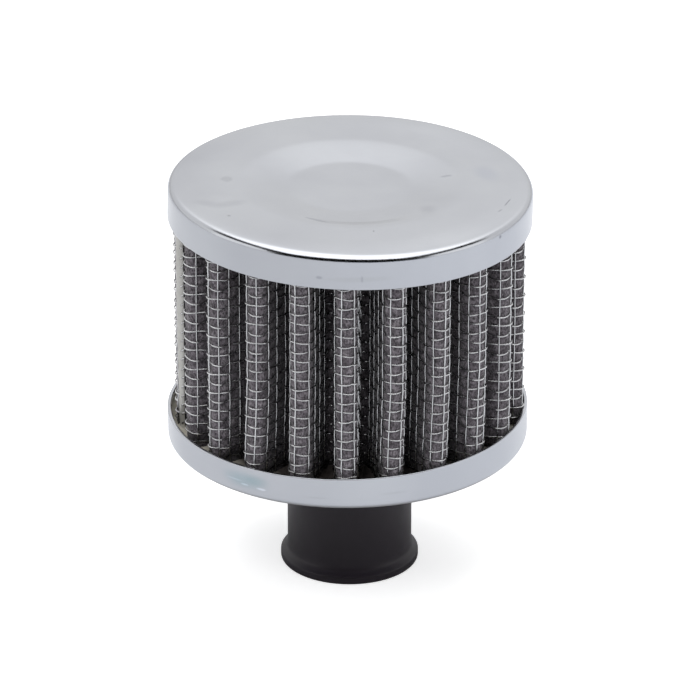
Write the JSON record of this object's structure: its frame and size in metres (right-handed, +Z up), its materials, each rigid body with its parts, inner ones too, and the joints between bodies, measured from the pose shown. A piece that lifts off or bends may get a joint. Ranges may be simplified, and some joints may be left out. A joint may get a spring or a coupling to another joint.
{
  "type": "crankcase breather filter",
  "caption": "Small round breather air filter: pleated gauze pack in wire screens between two pressed steel end caps, on a moulded rubber neck that clamps over a pipe.",
  "frame": {"origin": "centre of the neck's open end, on the filter's axis", "axes": "+Z up along the filter's axis from the neck's mouth to the top cap; -Y faces the viewer of the picture"},
  "size_m": [0.051, 0.051, 0.0582],
  "materials": {
    "cap_steel": "bright satin plating with light handling marks",
    "neck_rubber": "matt moulded rubber",
    "gauze": "grey cotton gauze",
    "screen_wire": "woven round wire",
    "potting": "cured black potting compound",
    "seam_metal": "plain strip"
  },
  "bodies": {
    "root": {"top_cap": "cap_steel", "bottom_cap": "cap_steel", "neck": "neck_rubber", "filter_media": "gauze", "outer_screen": "screen_wire", "inner_screen": "screen_wire", "top_potting": "potting", "bottom_potting": "potting", "seam_strip": "seam_metal"}
  },
  "joints": []
}
